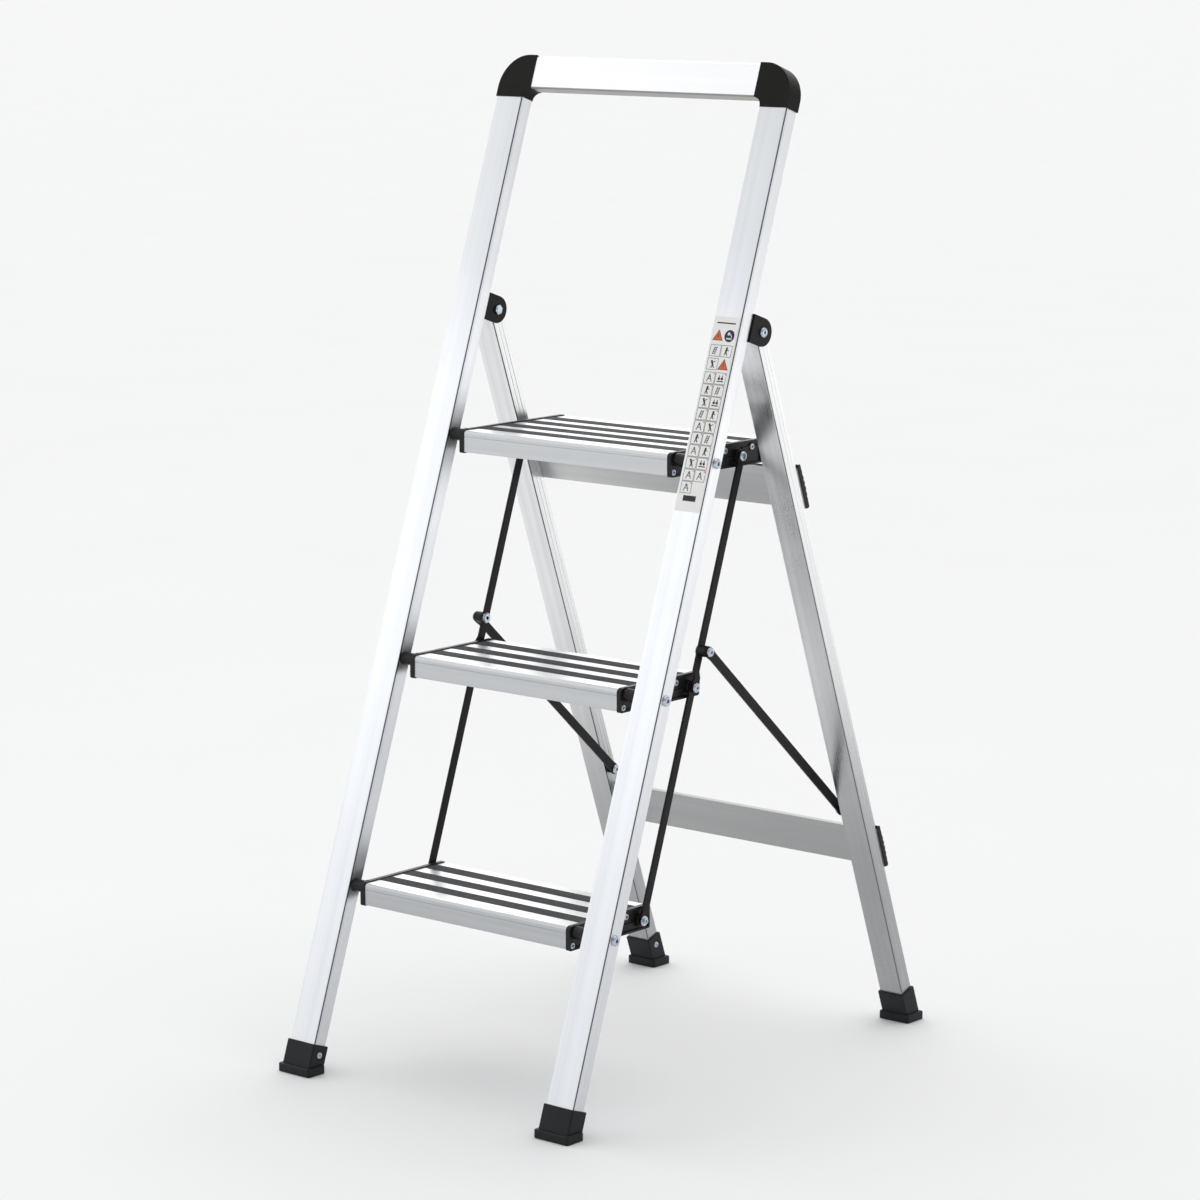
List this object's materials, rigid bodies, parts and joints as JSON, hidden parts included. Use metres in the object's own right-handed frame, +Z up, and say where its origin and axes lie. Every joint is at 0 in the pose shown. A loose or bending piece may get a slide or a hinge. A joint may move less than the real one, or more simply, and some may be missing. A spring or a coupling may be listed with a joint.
{
  "type": "step ladder",
  "caption": "Folding step ladder with a tall handrail, a standing platform, and steps that swing up together on tie bars when the rear legs fold in.",
  "frame": {"origin": "on the floor, at the middle of the rectangle around the four feet", "axes": "+X to the user's right as the user faces the steps, +Y to the rear legs, +Z up"},
  "size_m": [0.419, 0.6224, 1.0912],
  "materials": {
    "anodised_aluminium": "satin anodised",
    "black_plastic": "moulded, lightly textured",
    "black_steel": "powder coated",
    "zinc_plated_steel": "zinc plated",
    "grip_rubber": "ribbed",
    "label_film": "printed film",
    "white_nylon": "plain"
  },
  "bodies": {
    "front_frame": {"stile_left": "anodised_aluminium", "stile_right": "anodised_aluminium", "handrail": "anodised_aluminium", "corner_left": "black_plastic", "corner_right": "black_plastic", "corner_rivets": "zinc_plated_steel", "hinge_bracket_left": "black_steel", "hinge_bracket_right": "black_steel", "hinge_bracket_rivets": "zinc_plated_steel", "hinge_bolts": "zinc_plated_steel", "pivot_bolts": "zinc_plated_steel", "pivot_bushes": "black_plastic", "front_foot_left": "black_plastic", "front_foot_right": "black_plastic", "front_foot_rivets": "zinc_plated_steel", "pictogram_label": "label_film"},
    "rear_frame": {"leg_left": "anodised_aluminium", "leg_right": "anodised_aluminium", "leg_caps": "black_plastic", "hinge_bushes": "white_nylon", "upper_crossbar": "anodised_aluminium", "lower_crossbar": "anodised_aluminium", "upper_crossbar_caps": "black_plastic", "lower_crossbar_caps": "black_plastic", "crossbar_rivets": "zinc_plated_steel", "rear_foot_left": "black_plastic", "rear_foot_right": "black_plastic", "rear_foot_rivets": "zinc_plated_steel"},
    "lower_step": {"lower_tread": "anodised_aluminium", "lower_grips": "grip_rubber", "lower_bracket_left": "black_plastic", "lower_bracket_right": "black_plastic", "lower_bracket_screws": "zinc_plated_steel", "lower_tie_bolts": "zinc_plated_steel"},
    "middle_step": {"middle_tread": "anodised_aluminium", "middle_grips": "grip_rubber", "middle_bracket_left": "black_plastic", "middle_bracket_right": "black_plastic", "middle_bracket_screws": "zinc_plated_steel", "middle_tie_bolts": "zinc_plated_steel"},
    "platform": {"platform_tread": "anodised_aluminium", "platform_grips": "grip_rubber", "platform_bracket_left": "black_plastic", "platform_bracket_right": "black_plastic", "platform_bracket_screws": "zinc_plated_steel", "platform_tie_bolts": "zinc_plated_steel"},
    "lower_tie_bars": {"lower_tie_bar_left": "black_steel", "lower_tie_bar_right": "black_steel"},
    "upper_tie_bars": {"upper_tie_bar_left": "black_steel", "upper_tie_bar_right": "black_steel", "brace_spacers": "black_plastic", "brace_upper_bolts": "zinc_plated_steel"},
    "braces": {"brace_left": "black_steel", "brace_right": "black_steel", "brace_lower_bolts": "zinc_plated_steel", "brace_washers": "black_plastic"}
  },
  "joints": [
    {"name": "rear_fold", "type": "hinge", "parent": "front_frame", "child": "rear_frame", "pos_m": [0, 0.01089, 0.81145], "axis": [-1, 0, 0], "range_deg": [0, 33]},
    {"name": "lower_step_swing", "type": "hinge", "parent": "front_frame", "child": "lower_step", "pos_m": [0, -0.22929, 0.2], "axis": [1, 0, 0], "range_deg": [0, 48.2]},
    {"name": "middle_step_swing", "type": "hinge", "parent": "front_frame", "child": "middle_step", "pos_m": [0, -0.14689, 0.44], "axis": [1, 0, 0], "range_deg": [0, 48.2]},
    {"name": "platform_swing", "type": "hinge", "parent": "front_frame", "child": "platform", "pos_m": [0, -0.06448, 0.68], "axis": [1, 0, 0], "range_deg": [0, 48.2]},
    {"name": "lower_tie_swing", "type": "hinge", "parent": "lower_step", "child": "lower_tie_bars", "pos_m": [0, -0.12479, 0.1925], "axis": [-1, 0, 0], "range_deg": [0, 48.2]},
    {"name": "upper_tie_swing", "type": "hinge", "parent": "middle_step", "child": "upper_tie_bars", "pos_m": [0, -0.04239, 0.4325], "axis": [-1, 0, 0], "range_deg": [0, 48.2]},
    {"name": "brace_swing", "type": "hinge", "parent": "upper_tie_bars", "child": "braces", "pos_m": [0, -0.0294, 0.47033], "axis": [-1, 0, 0], "range_deg": [0, 60.4]}
  ],
  "couplings": [
    {"joint": "lower_step_swing", "follows": "rear_fold", "ratio": 1.457},
    {"joint": "middle_step_swing", "follows": "rear_fold", "ratio": 1.457},
    {"joint": "platform_swing", "follows": "rear_fold", "ratio": 1.457},
    {"joint": "lower_tie_swing", "follows": "rear_fold", "ratio": 1.457},
    {"joint": "upper_tie_swing", "follows": "rear_fold", "ratio": 1.457},
    {"joint": "brace_swing", "follows": "rear_fold", "ratio": 1.8248}
  ]
}
